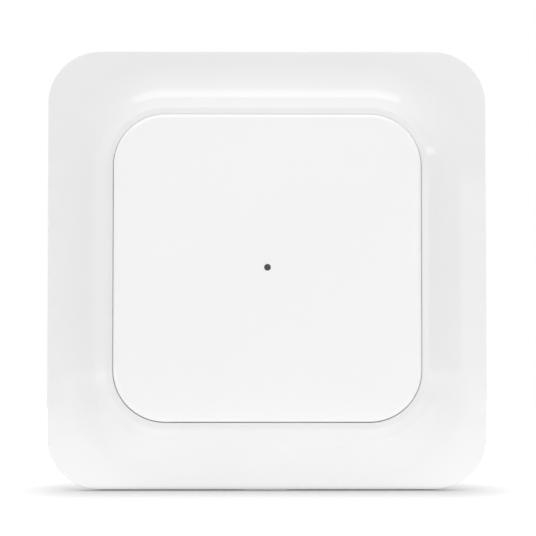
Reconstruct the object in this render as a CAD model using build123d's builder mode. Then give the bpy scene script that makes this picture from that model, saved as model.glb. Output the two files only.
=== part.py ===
from build123d import *
import os
from math import cos, radians, sin

# Flat battery radio transmitter for a wall: one square rocker plate in a coved square frame.
# Millimetres. X runs to the right, Z up, and the front faces -Y. The origin is the middle of
# the back, on the face of the wall, and a depth is the distance from the wall to the front.

# Cover frame
frame_side = 80.0
frame_corner = 9.7
frame_back = 0.3
frame_wall = 1.6
frame_draft = 2.4
back_edge = 0.2
rim_depth = 5.0
rim_width = 2.2
rim_edge = 0.7
rim_thickness = 1.5

# Rocker plate and the gap round it
plate_side = 55.0
plate_corner = 9.2
plate_depth = 12.2
plate_slope_width = 0.76
plate_slope_depth = 1.26
plate_crease = 0.3
plate_thickness = 1.6
skirt_depth = 9.5
skirt_wall = 1.4
plate_gap = 0.3

# Raised collar round the plate: a cove, a steeper flank and a creased crest
crest_depth = 10.7
crest_width = 0.05
lip_radius = 0.9
crest_radius = 0.35
flank_angle = 54.5
cove_width = 7.0
cove_rise = 3.08
collar_wall = 1.6
collar_back = 3.9
ledge_width = 0.9
ledge_front = 4.8

# Ribs inside the frame
rib_thickness = 1.0
rib_back = 2.6
rib_places = (10.0, 20.0)
locator_reach = 35.7
locator_back = 0.9
locator_places = (14.0, 25.0)
corner_rib_length = 24.0
pry_notch_width = 8.0
pry_notch_height = 1.0

# How far a block runs into its neighbour, and how far a cut runs past the part
overlap = 0.1
spare = 1.0

# Wall plate
wall_plate_side = 70.8
wall_plate_corner = 5.2
wall_plate_thickness = 1.6
wall_plate_edge = 1.2
wall_plate_edge_depth = 2.4
window_side = 47.0
window_corner = 5.0
screw_spacing = 60.0
screw_slot_length = 7.0
screw_slot_width = 4.2
screw_dish_width = 7.4
screw_dish_depth = 0.5
dowel_spacing = 52.0
dowel_radius = 1.8
stiffener_places = (7.0, 22.0)
stiffener_inside = 28.4
stiffener_length = 5.0
stiffener_width = 0.9
stiffener_front = 2.25
sight_notch = 1.1

# Snap arms that stand on the wall plate and hold the module
arm_offset = 13.0
arm_width = 8.0
arm_inside = 26.3
arm_outside = 27.5
arm_front = 6.2
nose_reach = 25.75
nose_back = 4.9
arm_clearance = 0.7

# Module: a back tub and a front cover that clamp the circuit board
tub_side = 52.0
tub_corner = 7.7
tub_wall = 1.2
tub_back = 1.8
tub_floor = 1.0
tub_front = 7.0
flange_side = 54.8
flange_corner = 9.1
flange_back = 4.9
flange_front = 5.7
boss_spacing = 40.0
boss_radius = 2.5
board_back = 6.2
board_thickness = 0.8
board_side = 48.8
board_corner = 6.2
antenna_rest_radius = 0.9
label_width = 28.0
label_height = 10.0
label_z = 13.0
label_recess = 0.2
plus_x = 7.8
plus_z = -2.6
plus_size = 2.4
plus_line = 0.6
cover_side = 51.6
cover_corner = 7.5
cover_back = 7.7
cover_front = 8.5
cover_boss_radius = 2.2
light_opening_radius = 1.6
peg_hole_radius = 0.7
peg_radius = 0.6
peg_spacing = 12.0

# Module screws
screw_radius = 0.8
screw_head_radius = 1.6
screw_head_back = 2.0
screw_head_front = 3.0
screw_tip = 8.0
screw_bore = 0.85
counterbore_radius = 1.8
recess_width = 0.4
recess_length = 2.0
recess_depth = 0.45

# Rocker pivot and carrier
pivot_depth = 9.4
pin_radius = 0.8
pin_clearance = 0.04
pin_start = 22.4
pin_end = 24.6
lug_inside = 22.9
lug_outside = 24.5
lug_half_height = 2.0
lug_front = 10.3
lug_mouth = 1.3
carrier_side = 49.2
carrier_corner = 6.6
carrier_back = 9.5
carrier_front = 10.4
carrier_hole_radius = 1.9
carrier_window_width = 6.5
carrier_window_height = 7.5
pad_post_radius = 1.8
stop_x = 10.0
stop_z = 23.4
stop_length = 3.0
stop_width = 1.2
stop_back = 9.36
carrier_rib_x = 3.4
carrier_rib_length = 22.0
carrier_rib_width = 0.9
carrier_rib_depth = 0.4
hook_window_width = 1.6
hook_x = 18.4
hook_z = 7.0
hook_width = 5.0
hook_thickness = 0.9
hook_nose = 0.55
hook_back = 8.98

# Silicone key mat: four domes under the carrier's pads
dome_x = 14.0
dome_z = 16.0
dome_base_radius = 3.3
dome_top_radius = 2.2
dome_front = 8.9
dome_skin = 0.4
mat_front = 7.6
mat_width = 37.2
mat_height = 41.2
pill_radius = 1.5
pill_thickness = 0.4
pad_radius = 2.3
pad_split = 0.5
boss_clearance_radius = 2.7
copper = 0.04

# Light hole in the middle of the plate
light_hole_radius = 0.6
light_pipe_radius = 0.56
light_pipe_recess = 0.15
light_pipe_foot = 9.0
light_pipe_stem = 0.9
light_pipe_flange = 1.5

# Coin cell in its round bay, open to the back
cell_x = -8.0
cell_z = -8.0
cell_radius = 10.0
cell_back = 1.6
cell_thickness = 3.2
bay_radius = 10.25
bay_wall = 1.25
bay_back = 0.8
bay_front = 5.9
cell_catch_radius = 1.3
finger_notch_radius = 3.2
can_wall = 0.65
can_rim = 0.25
can_edge = 0.25
cap_radius = 8.9
cap_edge = 0.2
seal_reach = 9.32

# Learn button
learn_x = 12.0
learn_z = -12.0
learn_guard_radius = 3.3
learn_guard_back = 1.2
learn_dish_radius = 2.5
learn_bore_radius = 1.9
switch_side = 5.2
switch_back = 4.75

# Parts on the back of the board
radio_x = 12.0
radio_z = 9.5
controller_x = -10.5
controller_z = 11.0
buffer_x = 12.5
buffer_z = -2.5
radio_width = 16.0
radio_height = 13.0
radio_thickness = 0.6
edge_cup_radius = 0.4
edge_cup_pitch = 1.8
shield_width = 13.6
shield_height = 10.0
shield_corner = 0.8
shield_stand = 1.85
shield_skin = 0.2
vent_radius = 0.4
controller_side = 7.0
leg_pitch = 0.8
leg_sheet = 0.13
leg_half_width = 0.16
crystal_length = 7.0
crystal_width = 3.2
capacitor_size = (0.9, 1.6)
resistor_size = (0.55, 1.0)
antenna_reach = 23.3
antenna_depth = 4.4
antenna_radius = 0.3

# Worked out from the above
frame_half = frame_side / 2
plate_half = plate_side / 2
opening_half = plate_half + plate_gap
opening_corner = plate_corner + plate_gap
collar_half = opening_half + collar_wall
collar_corner = opening_corner + collar_wall
cove_foot = frame_half - rim_width
cove_top = cove_foot - cove_width
board_front = board_back + board_thickness
cell_front = cell_back + cell_thickness
plate_under = plate_depth - plate_thickness
boss_places = GridLocations(boss_spacing, boss_spacing, 2, 2)
dome_places = GridLocations(2 * dome_x, 2 * dome_z, 2, 2)
peg_places = GridLocations(peg_spacing, 2 * dome_z, 2, 2)

# Side section: up, and depth towards the front
upright = Plane(origin=(0, 0, 0), x_dir=(0, 0, 1), z_dir=(1, 0, 0))

os.makedirs("parts", exist_ok=True)


def level(depth):
    """The plane at this depth from the wall, seen from the front."""
    return Plane.XZ.offset(depth)


def section_at(x, z):
    """A section through this place: out along X, and depth towards the front."""
    return Plane(origin=(x, 0, z), x_dir=(1, 0, 0), z_dir=(0, 0, -1))


def at(x, z):
    """One place on a level."""
    return Locations((x, z))


def square(half, radius, back, front, mode=Mode.ADD):
    """A rounded square block between two depths."""
    with BuildSketch(level(back)) as outline:
        RectangleRounded(2 * half, 2 * half, radius)
    extrude(outline.sketch, amount=front - back, mode=mode)


def square_ring(half, radius, wall, back, front, mode=Mode.ADD):
    """A rounded square wall between two depths."""
    with BuildSketch(level(back)) as outline:
        RectangleRounded(2 * half, 2 * half, radius)
        RectangleRounded(2 * (half - wall), 2 * (half - wall), radius - wall, mode=Mode.SUBTRACT)
    extrude(outline.sketch, amount=front - back, mode=mode)


def blocks(width, height, back, front, places, mode=Mode.ADD):
    """A rectangular block at each place, between two depths."""
    with BuildSketch(level(back)) as outline:
        with places:
            Rectangle(width, height)
    extrude(outline.sketch, amount=front - back, mode=mode)


def rounds(radius, back, front, places, mode=Mode.ADD):
    """A round post or hole at each place, between two depths."""
    with BuildSketch(level(back)) as outline:
        with places:
            Circle(radius)
    extrude(outline.sketch, amount=front - back, mode=mode)


def turned(profile, x, z, mode=Mode.ADD):
    """A profile turned about the depth axis through this place."""
    revolve(profile.sketch, axis=Axis((x, 0, z), (0, 1, 0)), mode=mode)


def round_the_collar(profile):
    """A section carried round the rounded square of the opening."""
    with BuildLine(Plane.XZ) as quarter:
        corner = (opening_half, opening_half)
        FilletPolyline((opening_half, 0), corner, (0, opening_half), radius=opening_corner)
    sweep(profile.sketch, path=quarter.line)
    mirror(about=Plane.XY)
    mirror(about=Plane.YZ)


def save(piece, name):
    """Label a finished piece and write its file."""
    piece.part.label = name
    export_step(piece.part, f"parts/{name}.step")


# Cover frame. The front surface is one section carried round the opening, cut from a block.
flank_start = (
    opening_half + lip_radius + crest_width + crest_radius * sin(radians(flank_angle)),
    crest_depth - crest_radius * (1 - cos(radians(flank_angle))),
)
block_front = crest_depth + spare
far_out = frame_side * 0.75
with BuildSketch(section_at(0, 0)) as front_section:
    with BuildLine():
        Polyline(
            (opening_half, crest_depth - lip_radius),
            (opening_half - plate_gap, crest_depth - lip_radius),
            (opening_half - plate_gap, block_front + spare),
            (far_out, block_front + spare),
            (far_out, rim_depth),
            (cove_foot, rim_depth),
        )
        TangentArc((cove_foot, rim_depth), (cove_top, rim_depth + cove_rise), tangent=(-1, 0))
        Line((cove_top, rim_depth + cove_rise), flank_start)
        crest_end = (opening_half + lip_radius + crest_width, crest_depth)
        TangentArc(crest_end, flank_start, tangent=(1, 0))
        Line(crest_end, (opening_half + lip_radius, crest_depth))
        lip_start = (opening_half, crest_depth - lip_radius)
        TangentArc(lip_start, (opening_half + lip_radius, crest_depth), tangent=(0, 1))
    make_face()

with BuildPart() as front_cut:
    round_the_collar(front_section)

# The hollow behind the front surface, with slots left for the ribs
hollow_turn = (cove_top - 1.03, rim_depth + cove_rise - 0.95)
hollow_peak = hollow_turn[1] + 0.6
rim_under = rim_depth - rim_thickness
with BuildSketch(section_at(0, 0)) as hollow_section:
    with BuildLine():
        Polyline(hollow_turn, (collar_half, hollow_peak), (collar_half, -spare), (far_out, -spare))
        Polyline((far_out, -spare), (far_out, rim_under), (cove_foot, rim_under))
        TangentArc((cove_foot, rim_under), hollow_turn, tangent=(-1, 0))
    make_face()

with BuildPart() as frame_hollow:
    round_the_collar(hollow_section)
    inside_half = frame_half - frame_wall
    square(inside_half, frame_corner - frame_wall, -spare, crest_depth, Mode.INTERSECT)
    for turn in range(4):
        with BuildSketch(level(rib_back)) as ribs:
            with Locations(Rotation(0, 0, 90 * turn)):
                with Locations([(frame_half, side * z) for z in rib_places for side in (-1, 1)]):
                    Rectangle(frame_side / 2, rib_thickness)
        extrude(ribs.sketch, amount=crest_depth, mode=Mode.SUBTRACT)
        with BuildSketch(level(locator_back)) as locators:
            with Locations(Rotation(0, 0, 90 * turn)):
                with Locations([(frame_half, side * z) for z in locator_places for side in (-1, 1)]):
                    Rectangle(2 * (frame_half - locator_reach), rib_thickness)
        extrude(locators.sketch, amount=rim_depth, mode=Mode.SUBTRACT)
        with BuildSketch(level(rib_back)) as corner_ribs:
            with Locations(Rotation(0, 0, 45 + 90 * turn)):
                with Locations((frame_half * 1.22, 0)):
                    Rectangle(corner_rib_length, rib_thickness)
        extrude(corner_ribs.sketch, amount=crest_depth, mode=Mode.SUBTRACT)

with BuildPart() as cover_frame:
    with BuildSketch(level(frame_back)) as frame_outline:
        RectangleRounded(frame_side, frame_side, frame_corner)
    extrude(frame_outline.sketch, amount=block_front - frame_back, taper=frame_draft)
    chamfer(cover_frame.faces().sort_by(Axis.Y)[-1].edges(), back_edge)
    square(opening_half, opening_corner, 0, block_front, Mode.SUBTRACT)
    add(front_cut.part, mode=Mode.SUBTRACT)
    rim_face = cover_frame.faces().filter_by(Axis.Y).filter_by_position(Axis.Y, -rim_depth, -rim_depth)
    fillet(rim_face[0].outer_wire().edges(), rim_edge)
    add(frame_hollow.part, mode=Mode.SUBTRACT)
    square(collar_half + overlap, collar_corner + overlap, 0, collar_back, Mode.SUBTRACT)
    ledge_root = collar_wall / 4
    square_ring(opening_half + ledge_root, opening_corner + ledge_root, ledge_width + ledge_root,
                collar_back, ledge_front)
    arm_places = GridLocations(2 * arm_offset, arm_inside + arm_outside, 2, 2)
    blocks(arm_width + 2 * arm_clearance, 2 * ledge_width, 0, ledge_front, arm_places, Mode.SUBTRACT)
    pry_place = at(0, frame_wall / 2 - frame_half)
    blocks(pry_notch_width, frame_wall + overlap, 0, frame_back + pry_notch_height, pry_place,
           Mode.SUBTRACT)
save(cover_frame, "cover_frame")

# Wall plate: screw slots on a 60 mm cross, dowel holes, and four snap arms
wall_half = wall_plate_side / 2
window_half = window_side / 2
screw_half = screw_spacing / 2
with BuildPart() as wall_plate:
    square(wall_half, wall_plate_corner, 0, wall_plate_thickness)
    square_ring(wall_half, wall_plate_corner, wall_plate_edge, 0, wall_plate_edge_depth)
    square(window_half, window_corner, 0, wall_plate_thickness, Mode.SUBTRACT)
    with BuildSketch(level(0)) as slots:
        with Locations((-screw_half, 0), (screw_half, 0)):
            SlotOverall(screw_slot_length, screw_slot_width)
        with Locations((0, -screw_half), (0, screw_half)):
            SlotOverall(screw_slot_length, screw_slot_width, rotation=90)
    extrude(slots.sketch, amount=wall_plate_thickness, mode=Mode.SUBTRACT)
    dish_length = screw_slot_length + screw_dish_width - screw_slot_width
    dish_back = wall_plate_thickness - screw_dish_depth
    with BuildSketch(level(dish_back)) as dishes:
        with Locations((-screw_half, 0), (screw_half, 0)):
            SlotOverall(dish_length, screw_dish_width)
        with Locations((0, -screw_half), (0, screw_half)):
            SlotOverall(dish_length, screw_dish_width, rotation=90)
        dish_stop = window_half + screw_dish_depth + overlap
        Rectangle(2 * dish_stop, 2 * dish_stop, mode=Mode.SUBTRACT)
    extrude(dishes.sketch, amount=screw_dish_depth, mode=Mode.SUBTRACT)
    dowel_places = GridLocations(dowel_spacing, dowel_spacing, 2, 2)
    rounds(dowel_radius, 0, wall_plate_thickness, dowel_places, Mode.SUBTRACT)
    nose_gap = arm_inside - nose_reach
    nose_places = GridLocations(2 * arm_offset, 2 * (arm_inside - nose_gap / 2), 2, 2)
    blocks(arm_width + 4 * overlap, nose_gap, 0, wall_plate_thickness, nose_places, Mode.SUBTRACT)
    stiffener_middle = stiffener_inside + stiffener_length / 2
    for turn in range(4):
        with BuildSketch(level(wall_plate_thickness - overlap)) as stiffeners:
            with Locations(Rotation(0, 0, 90 * turn)):
                with Locations([(stiffener_middle, side * z) for z in stiffener_places
                                for side in (-1, 1)]):
                    Rectangle(stiffener_length, stiffener_width)
        extrude(stiffeners.sketch, amount=stiffener_front - wall_plate_thickness + overlap)
    sight_places = Locations((-wall_half, 0), (wall_half, 0), (0, -wall_half), (0, wall_half))
    blocks(sight_notch, sight_notch, 0, wall_plate_edge_depth, sight_places, Mode.SUBTRACT)
    for x in (-arm_offset, arm_offset):
        for side in (-1, 1):
            with BuildSketch(upright.offset(x)) as arm:
                with BuildLine():
                    Polyline(
                        (side * arm_inside, wall_plate_thickness / 2),
                        (side * arm_outside, wall_plate_thickness / 2),
                        (side * arm_outside, arm_front),
                        (side * (arm_inside + 0.5), arm_front),
                        (side * nose_reach, nose_back + 0.4),
                        (side * nose_reach, nose_back),
                        (side * arm_inside, nose_back),
                        close=True,
                    )
                make_face()
            extrude(arm.sketch, amount=arm_width / 2, both=True)
save(wall_plate, "wall_plate")

# Back tub of the module, with the cell's bay and the screw bosses
tub_half = tub_side / 2
floor_front = tub_back + tub_floor
cell_place = at(cell_x, cell_z)
learn_place = at(learn_x, learn_z)
with BuildPart() as module_tub:
    square(tub_half, tub_corner, tub_back, floor_front)
    square_ring(tub_half, tub_corner, tub_wall, tub_back, tub_front)
    flange_reach = (flange_side - tub_side) / 2 + 0.3
    square_ring(flange_side / 2, flange_corner, flange_reach, flange_back, flange_front)
    arm_gap = arm_width + 2 * arm_clearance
    blocks(arm_gap, 2 * (arm_outside - tub_half) + spare, tub_back, flange_front,
           GridLocations(2 * arm_offset, 2 * arm_outside + spare, 2, 2), Mode.SUBTRACT)
    catch_back = nose_back - overlap / 2
    blocks(arm_gap, 2 * (tub_half - nose_reach) + 3 * overlap, catch_back, arm_front + overlap,
           GridLocations(2 * arm_offset, 2 * tub_half, 2, 2), Mode.SUBTRACT)
    rounds(bay_radius + bay_wall, bay_back, bay_front, cell_place)
    rounds(bay_radius, bay_back, bay_front, cell_place, Mode.SUBTRACT)
    rounds(boss_radius, floor_front, board_back - 0.05, boss_places)
    rounds(screw_bore, tub_back, board_back, boss_places, Mode.SUBTRACT)
    rounds(counterbore_radius, tub_back, screw_head_front + 0.05, boss_places, Mode.SUBTRACT)
    lip_places = [(cell_x + bay_radius * cos(radians(a)), cell_z + bay_radius * sin(radians(a)))
                  for a in (60, 180, 300)]
    rounds(cell_catch_radius, bay_back, cell_back - 0.05, Locations(lip_places))
    finger_place = at(cell_x, cell_z - bay_radius - bay_wall)
    rounds(finger_notch_radius, bay_back, cell_back + 0.9, finger_place, Mode.SUBTRACT)
    contact_place = at(cell_x + bay_radius + bay_wall, cell_z)
    blocks(3.2, 6.8, 2.6, bay_front, contact_place, Mode.SUBTRACT)
    rounds(learn_guard_radius, learn_guard_back, floor_front, learn_place)
    rounds(learn_dish_radius, learn_guard_back, tub_back, learn_place, Mode.SUBTRACT)
    rounds(learn_bore_radius, tub_back, floor_front, learn_place, Mode.SUBTRACT)
    rest_places = [(-antenna_reach, 8.0), (-antenna_reach, -12.0)]
    rest_places += [(-10.0, antenna_reach), (4.0, antenna_reach)]
    rest_front = antenna_depth - antenna_radius - 0.02
    rounds(antenna_rest_radius, floor_front, rest_front, Locations(rest_places))
    with BuildSketch(level(tub_back)) as marks:
        with Locations((0, label_z)):
            RectangleRounded(label_width, label_height, plus_size / 2)
        with Locations((plus_x, plus_z)):
            Rectangle(plus_size, plus_line)
            Rectangle(plus_line, plus_size)
    extrude(marks.sketch, amount=label_recess, mode=Mode.SUBTRACT)
save(module_tub, "module_tub")

# Front cover of the module, with dome openings and the two bearing lugs
lug_middle = (lug_inside + lug_outside) / 2
lug_length = lug_outside - lug_inside
with BuildPart() as module_cover:
    square(cover_side / 2, cover_corner, cover_back, cover_front)
    square_ring(cover_side / 2, cover_corner, tub_wall, tub_front + 0.02, cover_back)
    rounds(cover_boss_radius, board_front + 0.02, cover_back, boss_places)
    rounds(screw_bore, board_front, screw_tip + 0.2, boss_places, Mode.SUBTRACT)
    rounds(dome_base_radius + 0.4, cover_back, cover_front, dome_places, Mode.SUBTRACT)
    rounds(light_opening_radius, cover_back, cover_front, at(0, 0), Mode.SUBTRACT)
    rounds(peg_hole_radius, cover_back, cover_front, peg_places, Mode.SUBTRACT)
    lug_places = Locations((-lug_middle, 0), (lug_middle, 0))
    blocks(lug_length, 2 * lug_half_height, cover_front - 0.3, lug_front, lug_places)
    blocks(lug_length + 1, lug_mouth, pivot_depth, lug_front, lug_places, Mode.SUBTRACT)
    for side in (-1, 1):
        with BuildSketch(Plane(origin=(side * lug_middle, -pivot_depth, 0), z_dir=(1, 0, 0))) as bore:
            Circle(pin_radius + pin_clearance)
        extrude(bore.sketch, amount=lug_length, both=True, mode=Mode.SUBTRACT)
save(module_cover, "module_cover")

# Screws that clamp the module together from the back
with BuildPart() as module_screws:
    rounds(screw_head_radius, screw_head_back, screw_head_front, boss_places)
    rounds(screw_radius, screw_head_front - 0.1, screw_tip, boss_places)
    recess_front = screw_head_back + recess_depth
    blocks(recess_length, recess_width, screw_head_back, recess_front, boss_places, Mode.SUBTRACT)
    blocks(recess_width, recess_length, screw_head_back, recess_front, boss_places, Mode.SUBTRACT)
save(module_screws, "module_screws")

# Rocker plate: a shallow square cap with four hooks behind
with BuildPart() as rocker_plate:
    square(plate_half, plate_corner, skirt_depth, plate_depth)
    face = rocker_plate.faces().sort_by(Axis.Y)[0]
    chamfer(face.edges(), plate_slope_width, plate_slope_depth, reference=face)
    fillet(rocker_plate.faces().sort_by(Axis.Y)[0].edges(), plate_crease)
    square(plate_half - skirt_wall, plate_corner - skirt_wall, skirt_depth, plate_under, Mode.SUBTRACT)
    rounds(light_hole_radius, plate_under, plate_depth, at(0, 0), Mode.SUBTRACT)
    for side in (-1, 1):
        for z in (-hook_z, hook_z):
            leg_outside = hook_x + hook_thickness
            with BuildSketch(section_at(0, z)) as hook:
                with BuildLine():
                    Polyline(
                        (side * hook_x, plate_under + overlap),
                        (side * leg_outside, plate_under + overlap),
                        (side * leg_outside, carrier_back - 0.05),
                        (side * (leg_outside + hook_nose), carrier_back - 0.05),
                        (side * (leg_outside + hook_nose), carrier_back - 0.2),
                        (side * leg_outside, hook_back),
                        (side * hook_x, hook_back),
                        close=True,
                    )
                make_face()
            extrude(hook.sketch, amount=hook_width / 2, both=True)
save(rocker_plate, "rocker_plate")

# Rocker carrier: trunnion pins at the sides, pads over the domes, stops at the ends
with BuildPart() as rocker_carrier:
    square(carrier_side / 2, carrier_corner, carrier_back, carrier_front)
    rounds(carrier_hole_radius, carrier_back, carrier_front, at(0, 0), Mode.SUBTRACT)
    window_x = hook_x + hook_thickness / 2 - 0.15
    hook_windows = GridLocations(2 * window_x, 2 * hook_z, 2, 2)
    blocks(hook_window_width, hook_width + 0.8, carrier_back, carrier_front, hook_windows,
           Mode.SUBTRACT)
    with BuildSketch(level(carrier_back)) as windows:
        with GridLocations(15, 20, 2, 2):
            RectangleRounded(carrier_window_width, carrier_window_height, 1.0)
    extrude(windows.sketch, amount=carrier_front - carrier_back, mode=Mode.SUBTRACT)
    notch_middle = pin_start + 2
    notches = Locations((-notch_middle, 0), (notch_middle, 0))
    blocks(4, 2 * lug_half_height + 1.2, carrier_back, carrier_front, notches, Mode.SUBTRACT)
    root_places = Locations((-pin_start + 0.9, 0), (pin_start - 0.9, 0))
    blocks(1.8, 2.6, cover_front + 0.2, carrier_front, root_places)
    for side in (-1, 1):
        pin_root = Plane(origin=(side * (pin_start - 0.2), -pivot_depth, 0), z_dir=(side, 0, 0))
        with BuildSketch(pin_root) as pin:
            Circle(pin_radius)
        extrude(pin.sketch, amount=pin_end - pin_start + 0.2)
    rounds(pad_post_radius, dome_front + 0.04, carrier_back, dome_places)
    stop_places = GridLocations(2 * stop_x, 2 * stop_z, 2, 2)
    blocks(stop_length, stop_width, stop_back, carrier_back, stop_places)
    rib_lines = Locations((-carrier_rib_x, 0), (carrier_rib_x, 0))
    blocks(carrier_rib_width, carrier_rib_length, carrier_back - carrier_rib_depth, carrier_back,
           rib_lines)
save(rocker_carrier, "rocker_carrier")

# Light pipe, pressed into the plate behind its small hole
with BuildPart() as light_pipe:
    with BuildSketch(section_at(0, 0)) as pipe_section:
        with BuildLine():
            Polyline(
                (0, light_pipe_foot),
                (light_pipe_stem, light_pipe_foot),
                (light_pipe_stem, carrier_back + 0.2),
                (light_pipe_flange, carrier_back + 0.2),
                (light_pipe_flange, plate_under - 0.02),
                (light_pipe_radius, plate_under - 0.02),
                (light_pipe_radius, plate_depth - light_pipe_recess),
                (0, plate_depth - light_pipe_recess),
                close=True,
            )
        make_face()
    turned(pipe_section, 0, 0)
save(light_pipe, "light_pipe")

# Silicone key mat
with BuildPart() as key_mat:
    with BuildSketch(level(board_front)) as sheet:
        Rectangle(mat_width, mat_height)
        with boss_places:
            Circle(boss_clearance_radius, mode=Mode.SUBTRACT)
        Circle(light_opening_radius + overlap, mode=Mode.SUBTRACT)
        with dome_places:
            Circle(dome_base_radius - 0.2, mode=Mode.SUBTRACT)
    extrude(sheet.sketch, amount=mat_front - board_front)
    rounds(peg_radius, mat_front, cover_front - overlap, peg_places)
    for x in (-dome_x, dome_x):
        for z in (-dome_z, dome_z):
            with BuildSketch(section_at(x, z)) as dome:
                with BuildLine():
                    Polyline(
                        (0, dome_front),
                        (dome_top_radius, dome_front),
                        (dome_base_radius, mat_front),
                        (dome_base_radius, board_front),
                        (dome_base_radius - 0.6, board_front),
                        (dome_base_radius - 0.6, board_front + 0.3),
                        (pill_radius + dome_skin, dome_front - 0.9),
                        (0, dome_front - 0.9),
                        close=True,
                    )
                make_face()
            turned(dome, x, z)
save(key_mat, "key_mat")

# Carbon pills inside the domes
with BuildPart() as contact_pills:
    pill_front = dome_front - 0.9
    rounds(pill_radius, pill_front - pill_thickness, pill_front, dome_places)
save(contact_pills, "contact_pills")

# Circuit board and its gold contact pads
with BuildPart() as circuit_board:
    square(board_side / 2, board_corner, board_back, board_front)
    rounds(0.95, board_back, board_front, boss_places, Mode.SUBTRACT)
    edge_slots = Locations((0, -board_side / 2), (0, board_side / 2))
    blocks(3.0, 1.6, board_back, board_front, edge_slots, Mode.SUBTRACT)
save(circuit_board, "circuit_board")

with BuildPart() as contact_pads:
    rounds(pad_radius, board_front, board_front + copper, dome_places)
    blocks(pad_split, 2 * pad_radius + 1, board_front, board_front + copper, dome_places, Mode.SUBTRACT)
save(contact_pads, "contact_pads")

# Status light on the front of the board, under the light pipe
with BuildPart() as status_led:
    blocks(1.6, 0.8, board_front, board_front + 0.35, at(0, 0))
    blocks(1.0, 0.8, board_front, board_front + 0.6, at(0, 0))
save(status_led, "status_led")

# Coin cell: can, cap and the sealing ring between them
with BuildPart() as cell_can:
    with BuildSketch(section_at(cell_x, cell_z)) as can_section:
        with BuildLine():
            Polyline(
                (0, cell_back),
                (cell_radius, cell_back),
                (cell_radius, cell_front - can_rim),
                (cell_radius - can_wall, cell_front - can_rim),
                (cell_radius - can_wall, cell_front - 0.9),
                (0, cell_front - 0.9),
                close=True,
            )
        make_face()
        chamfer(can_section.vertices().group_by(Axis.X)[-1], can_edge)
    turned(can_section, cell_x, cell_z)
save(cell_can, "cell_can")

with BuildPart() as cell_cap:
    rounds(cap_radius, cell_front - 0.85, cell_front, cell_place)
    chamfer(cell_cap.faces().sort_by(Axis.Y)[0].edges(), cap_edge)
save(cell_cap, "cell_cap")

with BuildPart() as cell_seal:
    rounds(seal_reach, cell_front - 0.87, cell_front - 0.15, cell_place)
    rounds(cap_radius + 0.04, cell_front - 0.87, cell_front - 0.15, cell_place, Mode.SUBTRACT)
save(cell_seal, "cell_seal")

# Spring contacts of the cell
contact_sheet = 0.2
solder_depth = board_back - 0.12
with BuildPart() as positive_contact:
    with BuildSketch(section_at(0, cell_z)) as side_spring:
        with BuildLine():
            FilletPolyline(
                (5.8, solder_depth), (3.0, solder_depth), (2.36, 5.0), (2.14, 3.6), (2.7, 2.9),
                radius=0.4,
            )
        trace(line_width=contact_sheet)
    extrude(side_spring.sketch, amount=2.8, both=True)
save(positive_contact, "positive_contact")

with BuildPart() as negative_contact:
    touch_depth = cell_front + 0.17
    with BuildSketch(section_at(cell_x, cell_z)) as arch_spring:
        with BuildLine():
            FilletPolyline(
                (-7, solder_depth), (-4.6, solder_depth), (-1.4, touch_depth),
                (1.4, touch_depth), (4.6, solder_depth), (7, solder_depth),
                radius=0.6,
            )
        trace(line_width=contact_sheet)
    extrude(arch_spring.sketch, amount=2.0, both=True)
save(negative_contact, "negative_contact")

# Radio: a small board under a drawn shield
radio_board_front = board_back - 0.05
radio_board_back = radio_board_front - radio_thickness
with BuildPart() as radio_board:
    blocks(radio_width, radio_height, radio_board_back, radio_board_front, at(radio_x, radio_z))
    with BuildSketch(level(radio_board_back)) as edge_cups:
        with Locations((radio_x, radio_z)):
            with GridLocations(edge_cup_pitch, radio_height, 8, 2):
                Circle(edge_cup_radius)
    extrude(edge_cups.sketch, amount=radio_thickness, mode=Mode.SUBTRACT)
save(radio_board, "radio_board")

with BuildPart() as radio_shield:
    shield_back = radio_board_back - shield_stand
    with BuildSketch(level(shield_back)) as shield_outline:
        with Locations((radio_x, radio_z)):
            RectangleRounded(shield_width, shield_height, shield_corner)
    extrude(shield_outline.sketch, amount=shield_stand - 0.02)
    chamfer(radio_shield.faces().sort_by(Axis.Y)[-1].edges(), 0.3)
    blocks(shield_width - 2 * shield_skin, shield_height - 2 * shield_skin,
           shield_back + shield_skin, radio_board_back, at(radio_x, radio_z), Mode.SUBTRACT)
    with BuildSketch(level(shield_back)) as vents:
        with Locations((radio_x, radio_z)):
            with GridLocations(3.4, 3.0, 3, 3):
                Circle(vent_radius)
    extrude(vents.sketch, amount=shield_skin, mode=Mode.SUBTRACT)
save(radio_shield, "radio_shield")

# Controller chip with its legs, crystal, buffer capacitor and small chips
with BuildPart() as controller:
    chip_back = board_back - 1.15
    blocks(controller_side, controller_side, chip_back, board_back - overlap,
           at(controller_x, controller_z))
    chamfer(controller.faces().sort_by(Axis.Y)[-1].edges(), 0.15)
    first_leg = at(controller_x - 2.6, controller_z + 2.6)
    rounds(0.35, chip_back, chip_back + 0.05, first_leg, Mode.SUBTRACT)
save(controller, "controller")

with BuildPart() as controller_legs:
    for row in (-1, 1):
        with BuildSketch(section_at(controller_x, controller_z)) as leg:
            with BuildLine():
                Polyline((row * 3.52, 5.5), (row * 3.9, 5.5), (row * 4.1, 6.12), (row * 4.6, 6.12))
            trace(line_width=leg_sheet)
        for step in range(8):
            with Locations((0, 0, (step - 3.5) * leg_pitch)):
                add(extrude(leg.sketch, amount=leg_half_width, both=True, mode=Mode.PRIVATE))
save(controller_legs, "controller_legs")

with BuildPart() as crystal:
    with BuildSketch(level(board_back - 1.3)) as crystal_can:
        with Locations((-1.5, 18.0)):
            SlotOverall(crystal_length, crystal_width)
    extrude(crystal_can.sketch, amount=1.25)
    chamfer(crystal.faces().sort_by(Axis.Y)[-1].edges(), 0.25)
save(crystal, "crystal")

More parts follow.
